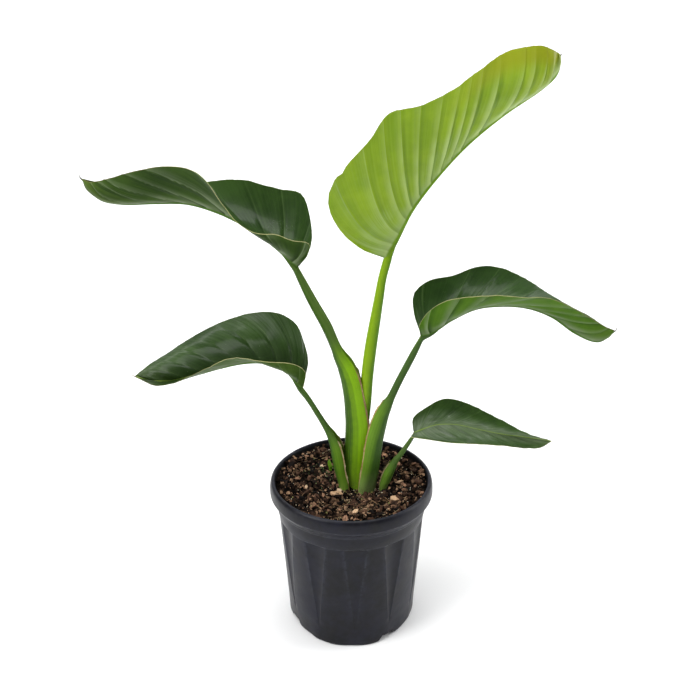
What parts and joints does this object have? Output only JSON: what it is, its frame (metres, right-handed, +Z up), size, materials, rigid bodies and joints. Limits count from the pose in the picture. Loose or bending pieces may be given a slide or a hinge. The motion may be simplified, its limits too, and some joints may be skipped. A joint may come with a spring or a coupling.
{
  "type": "potted plant",
  "caption": "Potted bird of paradise: broad pleated leaves on sheathed stalks rise from potting mix in a fluted nursery pot with a rounded rim.",
  "frame": {"origin": "centre of the pot's underside, on the surface it stands on", "axes": "+Z up along the pot's axis to the top leaf's tip, +X to the right and +Y to the back as the plant is seen from its front"},
  "size_m": [0.5656, 0.1884, 0.697],
  "materials": {
    "pot_plastic": "satin moulded charcoal polypropylene",
    "potting_mix": "loose damp bark and peat",
    "young_blade": "satin, thin and light green",
    "mature_blade": "waxy satin, dark green",
    "stalk": "smooth satin, mid green"
  },
  "bodies": {
    "root": {"pot": "pot_plastic", "soil": "potting_mix", "leaf_crown_blade": "young_blade", "leaf_crown_stalk": "stalk", "leaf_upper_left_blade": "mature_blade", "leaf_upper_left_stalk": "stalk", "leaf_lower_left_blade": "mature_blade", "leaf_lower_left_stalk": "stalk", "leaf_upper_right_blade": "mature_blade", "leaf_upper_right_stalk": "stalk", "leaf_lower_right_blade": "mature_blade", "leaf_lower_right_stalk": "stalk", "sprout": "stalk"}
  },
  "joints": []
}
